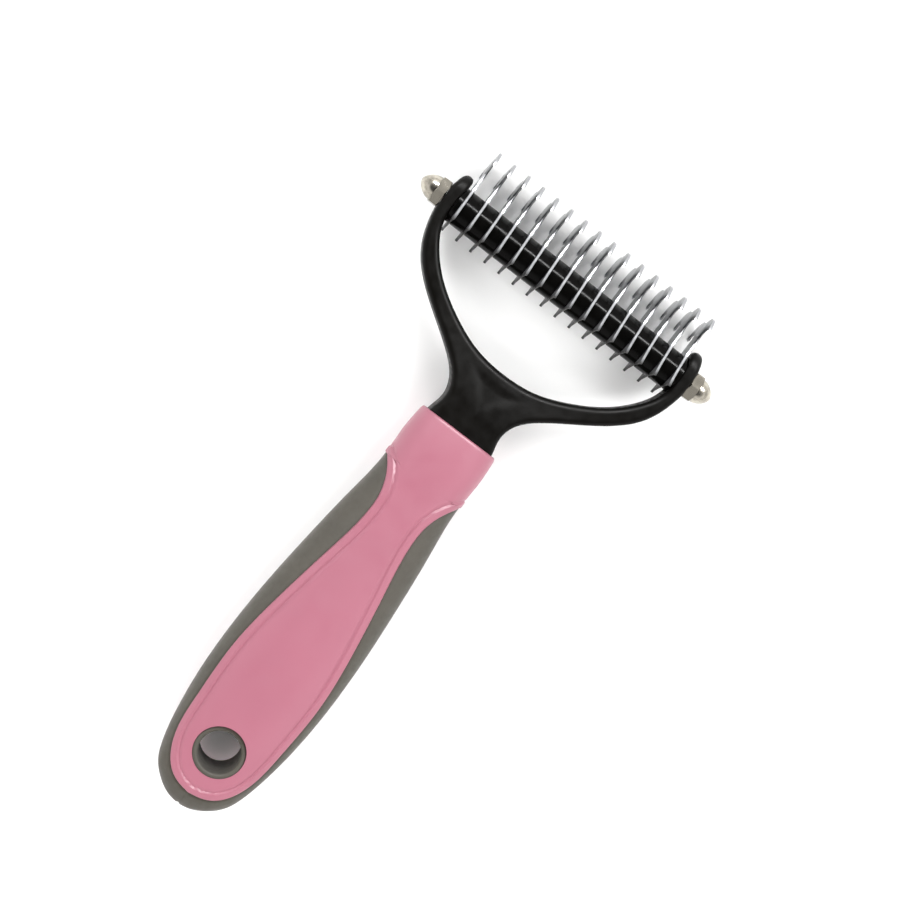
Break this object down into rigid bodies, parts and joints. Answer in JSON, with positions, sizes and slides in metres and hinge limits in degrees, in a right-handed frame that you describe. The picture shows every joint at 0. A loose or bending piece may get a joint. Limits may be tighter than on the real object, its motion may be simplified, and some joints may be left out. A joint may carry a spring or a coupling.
{
  "type": "dematting comb",
  "caption": "Grooming comb: a fork-shaped yoke holds a row of hooked steel blades on an axle with domed nuts, on a two-shot handle with a soft grip and a hanging hole.",
  "frame": {"origin": "under the middle of the overall box, on the surface that the comb lies on", "axes": "+X along the blade axle, +Y from the handle to the blades, +Z out of the front face"},
  "size_m": [0.0994, 0.194, 0.023],
  "materials": {
    "pink_plastic": "satin pink",
    "soft_rubber": "matt olive grey",
    "yoke_plastic": "satin black",
    "spacer_plastic": "gloss black",
    "blade_steel": "ground stainless",
    "axle_steel": "turned steel",
    "nickel": "nickel plate"
  },
  "bodies": {
    "handle": {"handle_core": "pink_plastic", "soft_grip": "soft_rubber", "hang_eyelet": "soft_rubber", "yoke": "yoke_plastic"},
    "blade_pack": {"axle_rod": "axle_steel", "blade_01": "blade_steel", "blade_02": "blade_steel", "blade_03": "blade_steel", "blade_04": "blade_steel", "blade_05": "blade_steel", "blade_06": "blade_steel", "blade_07": "blade_steel", "blade_08": "blade_steel", "blade_09": "blade_steel", "blade_10": "blade_steel", "blade_11": "blade_steel", "blade_12": "blade_steel", "blade_13": "blade_steel", "blade_14": "blade_steel", "blade_15": "blade_steel", "blade_16": "blade_steel", "spacer_01": "spacer_plastic", "spacer_02": "spacer_plastic", "spacer_03": "spacer_plastic", "spacer_04": "spacer_plastic", "spacer_05": "spacer_plastic", "spacer_06": "spacer_plastic", "spacer_07": "spacer_plastic", "spacer_08": "spacer_plastic", "spacer_09": "spacer_plastic", "spacer_10": "spacer_plastic", "spacer_11": "spacer_plastic", "spacer_12": "spacer_plastic", "spacer_13": "spacer_plastic", "spacer_14": "spacer_plastic", "spacer_15": "spacer_plastic", "end_collar_left": "spacer_plastic", "end_collar_right": "spacer_plastic"},
    "nut_left": {"cap_nut_left": "nickel"},
    "nut_right": {"cap_nut_right": "nickel"}
  },
  "joints": [
    {"name": "pack_turn", "type": "hinge", "parent": "handle", "child": "blade_pack", "pos_m": [0, 0.07884, 0.011], "axis": [1, 0, 0], "range_deg": [-8, 8]},
    {"name": "nut_left_turn", "type": "hinge", "parent": "blade_pack", "child": "nut_left", "pos_m": [-0.046, 0.07884, 0.011], "axis": [-1, 0, 0], "continuous": true},
    {"name": "nut_right_turn", "type": "hinge", "parent": "blade_pack", "child": "nut_right", "pos_m": [0.046, 0.07884, 0.011], "axis": [1, 0, 0], "continuous": true}
  ]
}
